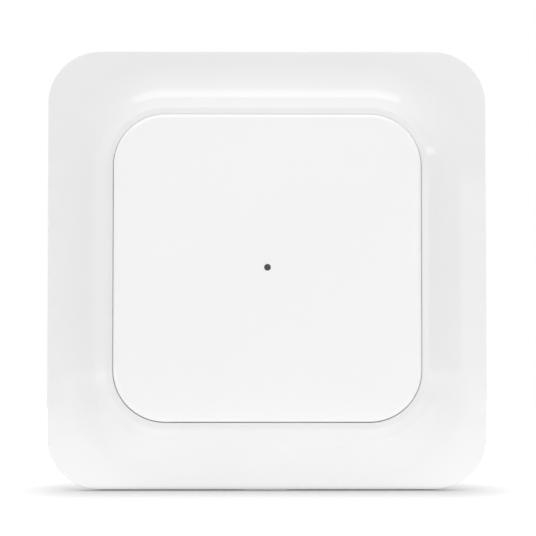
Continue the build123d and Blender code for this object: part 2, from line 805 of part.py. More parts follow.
with BuildPart() as buffer_capacitor:
    blocks(5.6, 3.2, board_back - 2.3, board_back - 0.1, at(buffer_x, buffer_z))
    chamfer(buffer_capacitor.faces().sort_by(Axis.Y)[-1].edges(), 0.2)
save(buffer_capacitor, "buffer_capacitor")

with BuildPart() as chip_capacitors:
    capacitor_places = [(-18.5, 12.5), (-18.5, 9.5), (-10.5, 17.6)]
    capacitor_places += [(3.4, 18.6), (19.5, -5.5), (19.5, -9.5)]
    blocks(*capacitor_size, board_back - 0.85, board_back - 0.02, Locations(capacitor_places))
save(chip_capacitors, "chip_capacitors")

with BuildPart() as chip_resistors:
    resistor_places = [(-18.5, 6.5), (-14.8, 5.2), (-7.0, 5.2), (1.0, 12.5)]
    resistor_places += [(1.0, 9.5), (5.5, -14.5), (5.5, -17.5)]
    blocks(*resistor_size, board_back - 0.4, board_back - 0.02, Locations(resistor_places))
save(chip_resistors, "chip_resistors")

# Antenna: a quarter-wave wire from the radio, round two sides of the tub
with BuildPart() as antenna_wire:
    with BuildLine() as antenna_route:
        FilletPolyline(
            (10.0, -radio_board_back + 0.05, 18.2),
            (10.0, -antenna_depth, 18.2),
            (10.0, -antenna_depth, antenna_reach),
            (-antenna_reach, -antenna_depth, antenna_reach),
            (-antenna_reach, -antenna_depth, -20.5),
            radius=(0.6, 0.9, 3.5),
        )
    with BuildSketch(Plane(origin=antenna_route.line @ 0, z_dir=antenna_route.line % 0)):
        Circle(antenna_radius)
    sweep()
save(antenna_wire, "antenna_wire")

# Learn switch: base, steel cover, and the stem that its button presses
with BuildPart() as learn_switch_base:
    blocks(switch_side, switch_side, switch_back, board_back - 0.02, learn_place)
    rounds(1.5, switch_back, 5.6, learn_place, Mode.SUBTRACT)
save(learn_switch_base, "learn_switch_base")

with BuildPart() as learn_switch_cover:
    lid_front = switch_back - 0.02
    blocks(switch_side, switch_side, lid_front - 0.23, lid_front, learn_place)
    rounds(1.35, lid_front - 0.23, lid_front, learn_place, Mode.SUBTRACT)
save(learn_switch_cover, "learn_switch_cover")

with BuildPart() as learn_stem:
    rounds(1.2, 3.95, 5.1, learn_place)
save(learn_stem, "learn_stem")

with BuildPart() as learn_button:
    rounds(1.7, 1.5, 3.0, learn_place)
    rounds(2.4, 3.0, 3.9, learn_place)
    chamfer(learn_button.faces().sort_by(Axis.Y)[-1].edges(), 0.3)
save(learn_button, "learn_button")
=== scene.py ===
"""Looks of the radio wall transmitter: moulded pieces, finishes and a small studio, in metres.

X runs to the right, Z up, and the front faces -Y. A depth is the distance from the wall to the
front, so a point at depth d has y = -d.
"""

import math

import bmesh
import bpy
from bpy.props import FloatProperty, FloatVectorProperty, PointerProperty
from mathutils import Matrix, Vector


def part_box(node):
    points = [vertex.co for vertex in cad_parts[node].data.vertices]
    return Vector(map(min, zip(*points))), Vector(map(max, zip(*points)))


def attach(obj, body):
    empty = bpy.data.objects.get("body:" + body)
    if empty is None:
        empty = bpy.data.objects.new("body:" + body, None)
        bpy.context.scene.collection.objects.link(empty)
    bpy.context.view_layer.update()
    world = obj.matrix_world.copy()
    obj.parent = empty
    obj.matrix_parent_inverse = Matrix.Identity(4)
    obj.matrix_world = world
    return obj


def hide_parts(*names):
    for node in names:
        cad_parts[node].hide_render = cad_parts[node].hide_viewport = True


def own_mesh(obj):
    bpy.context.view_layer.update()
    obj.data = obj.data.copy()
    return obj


bl_info = {
    "name": "Radio Wall Transmitter",
    "version": (1, 0, 0),
    "blender": (4, 5, 0),
    "location": "View3D > Sidebar > Transmitter",
    "description": "Builds the moulded pieces, finishes and studio of a flat radio wall transmitter",
    "category": "Object",
}

MM = 0.001
IMAGE_SIDE = 536

# Walls and ledge of the cover frame, and how far joined shapes run into each other
WALL = 1.6 * MM
COLLAR_BACK = 3.9 * MM
LEDGE_FRONT = 4.8 * MM
OVERLAP = 0.1 * MM

# Nearly all of a noise texture lies between these two values
NOISE_LOW, NOISE_HIGH = 0.3, 0.7

# Name, place, width and height, energy, whether it lights and whether gloss mirrors it
LAMPS = (
    ("Overhead Softbox", (0, -0.059, 0.37), (0.55, 0.19), 0.37, True, False),
    ("Overhead Highlight", (0, -0.037, 0.37), (0.37, 0.146), 0.24, False, True),
    ("Right Softbox", (0.4, -0.28, 0.06), (0.25, 0.25), 0.025, True, False),
    ("Left Softbox", (-0.4, -0.28, 0.04), (0.25, 0.25), 0.05, True, False),
    ("Front Right Softbox", (0.24, -0.56, 0.02), (0.36, 0.1), 0.1, True, True),
    ("Near Softbox", (0.11, -0.19, 0.02), (0.1, 0.1), 0.016, True, False),
    ("Left Strip", (-0.39, 0.09, 0.0), (0.06, 0.3), 0.25, True, False),
    ("Right Strip", (0.35, 0.1, 0.175), (0.03, 0.12), 0.012, True, True),
)

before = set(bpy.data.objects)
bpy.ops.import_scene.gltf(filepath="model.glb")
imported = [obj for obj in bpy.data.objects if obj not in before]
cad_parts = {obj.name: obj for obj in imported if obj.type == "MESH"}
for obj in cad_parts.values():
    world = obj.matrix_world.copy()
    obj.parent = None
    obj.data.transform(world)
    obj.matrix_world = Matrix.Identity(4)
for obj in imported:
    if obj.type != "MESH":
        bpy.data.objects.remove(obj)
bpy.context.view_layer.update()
frame_low, frame_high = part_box("cover_frame")
plate_low, plate_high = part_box("rocker_plate")


# Settings that a user would change


class TransmitterSizes(bpy.types.PropertyGroup):
    """Sizes of the moulded pieces"""

    frame_half: FloatProperty(
        name="Frame Half Side", description="From the middle to the frame's side",
        default=frame_high.x, unit="LENGTH")
    frame_corner: FloatProperty(
        name="Frame Corner", description="Radius of the frame's corners",
        default=9.7 * MM, unit="LENGTH")
    frame_draft: FloatProperty(
        name="Frame Draft", description="How much the frame's side leans in towards the front",
        default=0.2 * MM, unit="LENGTH")
    frame_back: FloatProperty(
        name="Frame Back", description="Depth of the frame's back edge",
        default=-frame_high.y, unit="LENGTH")
    rim_depth: FloatProperty(
        name="Rim Depth", description="Depth of the flat outer rim",
        default=5.0 * MM, unit="LENGTH")
    rim_edge: FloatProperty(
        name="Rim Edge", description="Radius of the rim's outer edge",
        default=0.2 * MM, unit="LENGTH")
    cove_foot: FloatProperty(
        name="Cove Foot", description="From the middle to where the cove starts to rise",
        default=37.8 * MM, unit="LENGTH")
    cove_width: FloatProperty(
        name="Cove Width", description="Width of the cove",
        default=7.0 * MM, unit="LENGTH")
    cove_rise: FloatProperty(
        name="Cove Rise", description="Height that the cove gains",
        default=3.08 * MM, unit="LENGTH")
    crest_depth: FloatProperty(
        name="Crest Depth", description="Depth of the collar's crest",
        default=-frame_low.y, unit="LENGTH")
    crest_radius: FloatProperty(
        name="Crest Radius", description="Radius of the collar's outer crease",
        default=0.35 * MM, unit="LENGTH")
    lip_radius: FloatProperty(
        name="Lip Radius", description="Radius that rolls from the crest into the gap",
        default=0.15 * MM, unit="LENGTH")
    crest_reach: FloatProperty(
        name="Crest Reach", description="From the middle to the crest's outer crease",
        default=28.75 * MM, unit="LENGTH")
    crest_tilt: FloatProperty(
        name="Crest Tilt", description="How far the crest faces away from the plate",
        default=math.radians(12), subtype="ANGLE")
    plate_half: FloatProperty(
        name="Plate Half Side", description="From the middle to the plate's side",
        default=plate_high.x, unit="LENGTH")
    plate_corner: FloatProperty(
        name="Plate Corner", description="Radius of the plate's corners",
        default=9.2 * MM, unit="LENGTH")
    plate_depth: FloatProperty(
        name="Plate Depth", description="Depth of the plate's face",
        default=-plate_low.y, unit="LENGTH")
    plate_crease: FloatProperty(
        name="Plate Crease", description="Radius between the plate's face and its sloping edge",
        default=0.4 * MM, unit="LENGTH")
    plate_slope: FloatProperty(
        name="Plate Slope", description="Width of the plate's sloping edge",
        default=0.68 * MM, unit="LENGTH")
    plate_gap: FloatProperty(
        name="Plate Gap", description="Gap between the plate and the collar",
        default=0.1 * MM, unit="LENGTH")
    plate_lift: FloatProperty(
        name="Plate Lift", description="How far the plate sits above the middle of its opening",
        default=0.03 * MM, unit="LENGTH")
    gap_middle: FloatProperty(
        name="Gap Middle", description="From the middle of the plate to the middle of the gap",
        default=plate_high.x + 0.11 * MM, unit="LENGTH")
    light_hole: FloatProperty(
        name="Light Hole", description="Radius of the hole for the status light",
        default=0.6 * MM, unit="LENGTH")


class TransmitterColours(bpy.types.PropertyGroup):
    """Colours of the finishes"""

    frame_white: FloatVectorProperty(
        name="Frame White", description="Cover frame",
        default=(0.8, 0.8, 0.8), size=3, subtype="COLOR", min=0, max=1)
    plate_white: FloatVectorProperty(
        name="Plate White", description="Rocker plate",
        default=(0.865, 0.865, 0.865), size=3, subtype="COLOR", min=0, max=1)
    satin_white: FloatVectorProperty(
        name="Satin White", description="Wall plate",
        default=(0.78, 0.78, 0.765), size=3, subtype="COLOR", min=0, max=1)
    case_grey: FloatVectorProperty(
        name="Case Grey", description="Tub, cover, carrier and learn button",
        default=(0.42, 0.43, 0.44), size=3, subtype="COLOR", min=0, max=1)
    smoke: FloatVectorProperty(
        name="Smoke", description="Light pipe behind the hole",
        default=(0.055, 0.049, 0.045), size=3, subtype="COLOR", min=0, max=1)
    board_green: FloatVectorProperty(
        name="Board Green", description="Solder mask of the circuit boards",
        default=(0.012, 0.13, 0.045), size=3, subtype="COLOR", min=0, max=1)


class TransmitterStudio(bpy.types.PropertyGroup):
    """Camera and light"""

    camera_distance: FloatProperty(
        name="Camera Distance", description="From the camera to the plane of the frame's rim",
        default=450 * MM, unit="LENGTH")
    camera_height: FloatProperty(
        name="Camera Height", description="Height of the camera over the middle of the frame",
        default=-23 * MM, unit="LENGTH")
    camera_across: FloatProperty(
        name="Camera Across", description="How far the camera stands right of the frame's middle",
        default=-5 * MM, unit="LENGTH")
    outline_pixels: FloatProperty(
        name="Outline Pixels", description="Width of the frame in the picture, in pixels",
        default=441.3, subtype="PIXEL")
    middle_right: FloatProperty(
        name="Middle Right", description="Frame's middle, in pixels right of the picture's middle",
        default=-0.95, subtype="PIXEL")
    middle_down: FloatProperty(
        name="Middle Down", description="Frame's middle, in pixels below the picture's middle",
        default=1.5, subtype="PIXEL")
    room_light: FloatProperty(
        name="Room Light", description="Strength of the light from all round",
        default=0.925, min=0)


# Shapes


def rounded_square(half, radius, depth, corner_steps=28, side_steps=14):
    """One loop of a rounded square, anticlockwise seen from the front."""
    flat = half - radius
    points = []
    for quarter in range(4):
        turn = math.pi / 2 * quarter
        for step in range(corner_steps + 1):
            angle = math.pi / 2 * step / corner_steps
            points.append((flat + radius * math.cos(angle), flat + radius * math.sin(angle), turn))
        for step in range(1, side_steps):
            points.append((flat - 2 * flat * step / side_steps, half, turn))
    return [
        Vector((a * math.cos(turn) - b * math.sin(turn), -depth,
                a * math.sin(turn) + b * math.cos(turn)))
        for a, b, turn in points
    ]


def circle_to(loop, radius, depth):
    """A circle whose points lie in the same directions as those of a rounded square."""
    points = []
    for point in loop:
        angle = math.atan2(point.z, point.x)
        points.append(Vector((radius * math.cos(angle), -depth, radius * math.sin(angle))))
    return points


def arc(middle, radius, start, end, steps):
    """Points (across, depth) of an arc. Angles are degrees from the front towards the outside."""
    angles = [math.radians(start + (end - start) * step / steps) for step in range(steps + 1)]
    return [(middle[0] + radius * math.sin(a), middle[1] + radius * math.cos(a)) for a in angles]


def flank_angle(foot, middle, radius):
    """Tilt, in degrees, of the line from a point that touches a circle round middle."""
    across, rise = foot[0] - middle[0], middle[1] - foot[1]
    reach = math.hypot(across, rise)
    return math.degrees(math.atan2(rise, across) + math.asin(radius / reach))


def skin_loops(mesh, loops):
    """Quads between each loop and the next, and from the last to the first."""
    rows = [[mesh.verts.new(point) for point in loop] for loop in loops]
    for row, following in zip(rows, rows[1:] + rows[:1]):
        for here in range(len(row)):
            after = (here + 1) % len(row)
            mesh.faces.new((row[here], row[after], following[after], following[here]))


def prism(mesh, outline, low, high, place):
    """A closed prism: its outline's (a, b) pairs run from low to high, put in space by place."""
    ends = [[mesh.verts.new(place(a, b, c)) for a, b in outline] for c in (low, high)]
    mesh.faces.new(reversed(ends[0]))
    mesh.faces.new(ends[1])
    for here in range(len(outline)):
        after = (here + 1) % len(outline)
        mesh.faces.new((ends[0][here], ends[0][after], ends[1][after], ends[1][here]))


def piece_from(mesh, name):
    """A new object from a finished bmesh."""
    bmesh.ops.recalc_face_normals(mesh, faces=mesh.faces)
    data = bpy.data.meshes.new(name)
    mesh.to_mesh(data)
    mesh.free()
    piece = bpy.data.objects.new(name, data)
    bpy.context.scene.collection.objects.link(piece)
    return piece


def cut_or_join(piece, tool, operation):
    """Join a tool to a piece, or cut it away, and remove the tool."""
    change = piece.modifiers.new(operation.title(), "BOOLEAN")
    change.operation = operation
    change.solver = "EXACT"
    change.object = tool
    graph = bpy.context.evaluated_depsgraph_get()
    result = bpy.data.meshes.new_from_object(piece.evaluated_get(graph))
    piece.modifiers.clear()
    piece.data = result
    bpy.data.objects.remove(tool)


def smooth(piece, angle=32):
    """Smooth shading that keeps creases over this angle and flat faces flat."""
    piece.data.polygons.foreach_set("use_smooth", [True] * len(piece.data.polygons))
    piece.data.set_sharp_from_angle(angle=math.radians(angle))
    weighted = piece.modifiers.new("Weighted Normals", "WEIGHTED_NORMAL")
    weighted.keep_sharp = True


def finish_piece(piece, material, body, slot, *nodes):
    """Give a new piece its material and its body, and hide the nodes that it stands for. The slot is not
    used.
    """
    piece.data.materials.clear()
    piece.data.materials.append(material)
    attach(piece, body)
    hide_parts(*nodes)


def finish_node(name, material):
    """Give a carried-over node its material."""
    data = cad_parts[name].data
    data.materials.clear()
    data.materials.append(material)


# Effects that several finishes share


def new_group(name, inputs, outputs):
    """An empty shader node group with named sockets. Returns it with its two end nodes."""
    group = bpy.data.node_groups.new(name, "ShaderNodeTree")
    for label, value in inputs:
        socket = group.interface.new_socket(label, in_out="INPUT", socket_type="NodeSocketFloat")
        socket.default_value = value
    for label in outputs:
        group.interface.new_socket(label, in_out="OUTPUT", socket_type="NodeSocketFloat")
    start = group.nodes.new("NodeGroupInput")
    end = group.nodes.new("NodeGroupOutput")
    return group, start, end


def object_noise(tree, scale_from, detail, roughness=0.5):
    """Noise over the object's own coordinates, with its scale from a socket."""
    where = tree.nodes.new("ShaderNodeTexCoord")
    noise = tree.nodes.new("ShaderNodeTexNoise")
    noise.inputs["Detail"].default_value = detail
    noise.inputs["Roughness"].default_value = roughness
    tree.links.new(where.outputs["Object"], noise.inputs["Vector"])
    tree.links.new(scale_from, noise.inputs["Scale"])
    return noise.outputs["Fac"]


def map_to(tree, value, low, high, to_low, to_high):
    """Map a value from one range to another."""
    node = tree.nodes.new("ShaderNodeMapRange")
    node.inputs["From Min"].default_value = low
    node.inputs["From Max"].default_value = high
    node.inputs["To Min"].default_value = to_low
    node.inputs["To Max"].default_value = to_high
    tree.links.new(value, node.inputs["Value"])
    return node.outputs["Result"]


def combine(tree, operation, first, second=0.0):
    """A math node on one or two sockets or numbers."""
    node = tree.nodes.new("ShaderNodeMath")
    node.operation = operation
    for socket, value in zip(node.inputs, (first, second)):
        if isinstance(value, bpy.types.NodeSocket):
            tree.links.new(value, socket)
        else:
            socket.default_value = value
    return node.outputs["Value"]


def seen_rays(tree):
    """1 for rays of the camera, of reflections and through clear pieces, and 0 for others."""
    path = tree.nodes.new("ShaderNodeLightPath")
    seen = combine(tree, "MAXIMUM", path.outputs["Is Camera Ray"], path.outputs["Is Glossy Ray"])
    return combine(tree, "MAXIMUM", seen, path.outputs["Is Transmission Ray"])


def vector_step(tree, operation, vector, other=(0, 0, 0)):
    """A vector math node on a socket and a fixed vector. Returns its outputs."""
    node = tree.nodes.new("ShaderNodeVectorMath")
    node.operation = operation
    tree.links.new(vector, node.inputs[0])
    node.inputs[1].default_value = other
    return node.outputs


def make_moulded_skin():
    """Slow waves of a polished mould, fine grain of a rough one, and a slight drift of tone."""
    group, start, end = new_group(
        "Moulded Skin", [("Wave Scale", 300.0), ("Grain Scale", 3000.0)], ["Waves", "Grain", "Tone"])
    drift_share = 0.15
    waves = object_noise(group, start.outputs["Wave Scale"], detail=1.0)
    grain = object_noise(group, start.outputs["Grain Scale"], detail=3.0, roughness=0.6)
    drift = combine(group, "MULTIPLY", start.outputs["Wave Scale"], drift_share)
    tone = object_noise(group, drift, detail=2.0)
    group.links.new(waves, end.inputs["Waves"])
    group.links.new(grain, end.inputs["Grain"])
    group.links.new(map_to(group, tone, NOISE_LOW, NOISE_HIGH, 0.0, 1.0), end.inputs["Tone"])
    return group


def make_handling():
    """Faint smears and dust: a mask that is 0 on a clean surface."""
    group, start, end = new_group(
        "Handling", [("Smear Scale", 60.0), ("Dust Scale", 1500.0)], ["Smears", "Dust"])
    clean, smeared = 0.5, 0.75
    speck_rim, speck_core = 0.12, 0.06
    smears = object_noise(group, start.outputs["Smear Scale"], detail=4.0, roughness=0.65)
    where = group.nodes.new("ShaderNodeTexCoord")
    specks = group.nodes.new("ShaderNodeTexVoronoi")
    group.links.new(where.outputs["Object"], specks.inputs["Vector"])
    group.links.new(start.outputs["Dust Scale"], specks.inputs["Scale"])
    dust = map_to(group, specks.outputs["Distance"], speck_rim, speck_core, 0.0, 1.0)
    group.links.new(map_to(group, smears, clean, smeared, 0.0, 1.0), end.inputs["Smears"])
    group.links.new(dust, end.inputs["Dust"])
    return group


def make_edge_wear_and_highlight():
    """A mask of edges, where handling rubs a finish and a paler tint paints an edge highlight."""
    group, start, end = new_group("Edge Wear and Highlight", [("Width", 0.0002)], ["Edge"])
    flat, sharp = 0.995, 0.85
    bevel = group.nodes.new("ShaderNodeBevel")
    bevel.samples = 4
    group.links.new(start.outputs["Width"], bevel.inputs["Radius"])
    plain = group.nodes.new("ShaderNodeNewGeometry")
    angle = group.nodes.new("ShaderNodeVectorMath")
    angle.operation = "DOT_PRODUCT"
    group.links.new(bevel.outputs["Normal"], angle.inputs[0])
    group.links.new(plain.outputs["Normal"], angle.inputs[1])
    group.links.new(map_to(group, angle.outputs["Value"], flat, sharp, 0.0, 1.0), end.inputs["Edge"])
    return group


def make_drawn_lines():
    """Fine lines left by rolling or turning, along X or in circles, and broad streaks of tone."""
    group, start, end = new_group(
        "Drawn Lines", [("Scale", 2000.0), ("Circles", 0.0), ("Middle X", 0.0), ("Middle Z", 0.0)],
        ["Lines", "Streaks"])
    streak_share = 0.04
    where = group.nodes.new("ShaderNodeTexCoord")
    parts = group.nodes.new("ShaderNodeSeparateXYZ")
    group.links.new(where.outputs["Object"], parts.inputs["Vector"])
    across = combine(group, "SUBTRACT", parts.outputs["X"], start.outputs["Middle X"])
    up = combine(group, "SUBTRACT", parts.outputs["Z"], start.outputs["Middle Z"])
    squares = combine(group, "ADD", combine(group, "MULTIPLY", across, across),
                      combine(group, "MULTIPLY", up, up))
    rings = combine(group, "SQRT", squares)
    blend = group.nodes.new("ShaderNodeMix")
    group.links.new(start.outputs["Circles"], blend.inputs["Factor"])
    group.links.new(up, blend.inputs["A"])
    group.links.new(rings, blend.inputs["B"])
    noise = group.nodes.new("ShaderNodeTexNoise")
    noise.noise_dimensions = "1D"
    noise.inputs["Detail"].default_value = 3.0
    group.links.new(blend.outputs["Result"], noise.inputs["W"])
    group.links.new(start.outputs["Scale"], noise.inputs["Scale"])
    streaks = object_noise(
        group, combine(group, "MULTIPLY", start.outputs["Scale"], streak_share), detail=1.0)
    group.links.new(noise.outputs["Fac"], end.inputs["Lines"])
    group.links.new(streaks, end.inputs["Streaks"])
    return group


EFFECTS = {
    "Moulded Skin": make_moulded_skin,
    "Handling": make_handling,
    "Edge Wear and Highlight": make_edge_wear_and_highlight,
    "Drawn Lines": make_drawn_lines,
}


def effect(tree, name, **values):
    """Place a shared effect in a material, made the first time that it is asked for."""
    group = bpy.data.node_groups.get(name) or EFFECTS[name]()
    node = tree.nodes.new("ShaderNodeGroup")
    node.node_tree = group
    for label, value in values.items():
        node.inputs[label.replace("_", " ")].default_value = value
    return node.outputs


# Finishes


def new_material(name, refraction=None):
    """A material, its node tree and its Principled BSDF."""
    material = bpy.data.materials.new(name)
    material.use_nodes = True
    shader = material.node_tree.nodes["Principled BSDF"]
    if refraction is not None:
        shader.inputs["IOR"].default_value = refraction
    return material, material.node_tree, shader


def tint(tree, shader, colour, other, mask, amount=1.0):
    """Base colour that goes from one colour to another where a mask is set."""
    mix = tree.nodes.new("ShaderNodeMix")
    mix.data_type = "RGBA"
    mix.inputs["A"].default_value = (*colour, 1)
    mix.inputs["B"].default_value = (*other, 1)
    tree.links.new(combine(tree, "MULTIPLY", mask, amount), mix.inputs["Factor"])
    tree.links.new(mix.outputs["Result"], shader.inputs["Base Color"])


def relief(tree, shader, height, distance, under=None):
    """Bump of this distance from a height, over another bump where one is given. Returns it."""
    bump = tree.nodes.new("ShaderNodeBump")
    bump.inputs["Distance"].default_value = distance
    tree.links.new(height, bump.inputs["Height"])
    if under is not None:
        tree.links.new(under, bump.inputs["Normal"])
    tree.links.new(bump.outputs["Normal"], shader.inputs["Normal"])
    return bump.outputs["Normal"]


def roughen(tree, shader, value, smoothest, roughest, low=NOISE_LOW, high=NOISE_HIGH):
    """Roughness that rises from smoothest to roughest while a value rises from low to high."""
    tree.links.new(map_to(tree, value, low, high, smoothest, roughest), shader.inputs["Roughness"])


def shade(colour, factor):
    """A colour made darker or lighter."""
    return tuple(min(1.0, part * factor) for part in colour)


def gloss_plastic(name, colour):
    """Polished white moulding: slow waves, faint smears and a slight drift of tone."""
    material, tree, shader = new_material(name, refraction=1.5)
    skin = effect(tree, "Moulded Skin", Wave_Scale=260.0)
    marks = effect(tree, "Handling", Smear_Scale=55.0)
    tint(tree, shader, colour, shade(colour, 0.985), skin["Tone"])
    roughen(tree, shader, marks["Smears"], 0.04, 0.09, low=0.0, high=1.0)
    relief(tree, shader, skin["Waves"], distance=1.2e-6)
    return material


def satin_plastic(name, colour, roughness, grain=9e-6, grain_scale=2600.0):
    """Spark-eroded moulding: fine grain, drifting tone and paler edges, which are rubbed wear and a
    painted edge highlight.
    """
    material, tree, shader = new_material(name, refraction=1.5)
    skin = effect(tree, "Moulded Skin", Wave_Scale=220.0, Grain_Scale=grain_scale)
    edge = effect(tree, "Edge Wear and Highlight", Width=0.00018)
    darker, paler = shade(colour, 0.96), shade(colour, 1.12)
    drift = combine(tree, "MULTIPLY", skin["Tone"], 0.35)
    # Paler edges: rubbed wear and a painted edge highlight
    tint(tree, shader, darker, paler, combine(tree, "MAXIMUM", edge["Edge"], drift))
    roughen(tree, shader, skin["Grain"], roughness - 0.07, roughness + 0.07)
    relief(tree, shader, skin["Grain"], distance=grain)
    return material


def metal(name, colour, roughness, circles=0.0, middle=(0.0, 0.0), scale=2500.0, depth=2.5e-6):
    """Rolled or turned metal: drawn lines, streaks of tone and brighter edges, which are wear and a
    painted edge highlight.
    """
    material, tree, shader = new_material(name)
    shader.inputs["Metallic"].default_value = 1.0
    lines = effect(tree, "Drawn Lines", Scale=scale, Circles=circles,
                   Middle_X=middle[0], Middle_Z=middle[1])
    edge = effect(tree, "Edge Wear and Highlight", Width=0.00012)
    darker, paler = shade(colour, 0.93), shade(colour, 1.08)
    # Brighter edges: wear and a painted edge highlight
    tint(tree, shader, darker, paler, combine(tree, "MAXIMUM", edge["Edge"], lines["Streaks"]))
    roughen(tree, shader, lines["Lines"], roughness - 0.08, roughness + 0.1, low=0.25, high=0.75)
    relief(tree, shader, lines["Lines"], distance=depth)
    return material


def soft_rubber(name, colour, roughness, translucency):
    """Silicone or carbon rubber: matt, with fine grain and a little dust."""
    material, tree, shader = new_material(name, refraction=1.42)
    shader.inputs["Subsurface Weight"].default_value = translucency
    shader.inputs["Subsurface Scale"].default_value = 0.8 * MM
    skin = effect(tree, "Moulded Skin", Grain_Scale=3500.0)
    marks = effect(tree, "Handling", Dust_Scale=2500.0)
    tint(tree, shader, colour, shade(colour, 1.35), marks["Dust"], amount=0.4)
    roughen(tree, shader, skin["Grain"], roughness - 0.06, roughness + 0.06)
    relief(tree, shader, skin["Grain"], distance=6e-6)
    return material


def smoke_pipe(name, colour):
    """Smoked light pipe: dark, polished, slightly warm."""
    material, tree, shader = new_material(name, refraction=1.5)
    skin = effect(tree, "Moulded Skin", Wave_Scale=1500.0)
    tint(tree, shader, colour, shade(colour, 0.8), skin["Tone"])
    roughen(tree, shader, skin["Waves"], 0.16, 0.26)
    relief(tree, shader, skin["Waves"], distance=2e-6)
    return material


def solder_mask(name, colour):
    """Circuit board: lacquer over copper tracks, which show as raised, lighter lines."""
    material, tree, shader = new_material(name, refraction=1.52)
    where = tree.nodes.new("ShaderNodeTexCoord")
    tracks = tree.nodes.new("ShaderNodeTexBrick")
    tracks.offset = 0.37
    tracks.inputs["Scale"].default_value = 260.0
    tracks.inputs["Mortar Size"].default_value = 0.035
    tracks.inputs["Mortar Smooth"].default_value = 0.1
    tracks.inputs["Color1"].default_value = (0, 0, 0, 1)
    tracks.inputs["Color2"].default_value = (0, 0, 0, 1)
    tracks.inputs["Mortar"].default_value = (1, 1, 1, 1)
    turn = tree.nodes.new("ShaderNodeMapping")
    turn.inputs["Rotation"].default_value = (math.pi / 2, 0, 0)
    tree.links.new(where.outputs["Object"], turn.inputs["Vector"])
    tree.links.new(turn.outputs["Vector"], tracks.inputs["Vector"])
    skin = effect(tree, "Moulded Skin", Grain_Scale=5000.0)
    tint(tree, shader, colour, shade(colour, 1.9), tracks.outputs["Fac"], amount=0.6)
    roughen(tree, shader, skin["Grain"], 0.22, 0.34)
    raised = relief(tree, shader, tracks.outputs["Fac"], distance=1.5e-5)
    relief(tree, shader, skin["Grain"], distance=2e-6, under=raised)
    return material


# Operators: one for each piece or group of like pieces


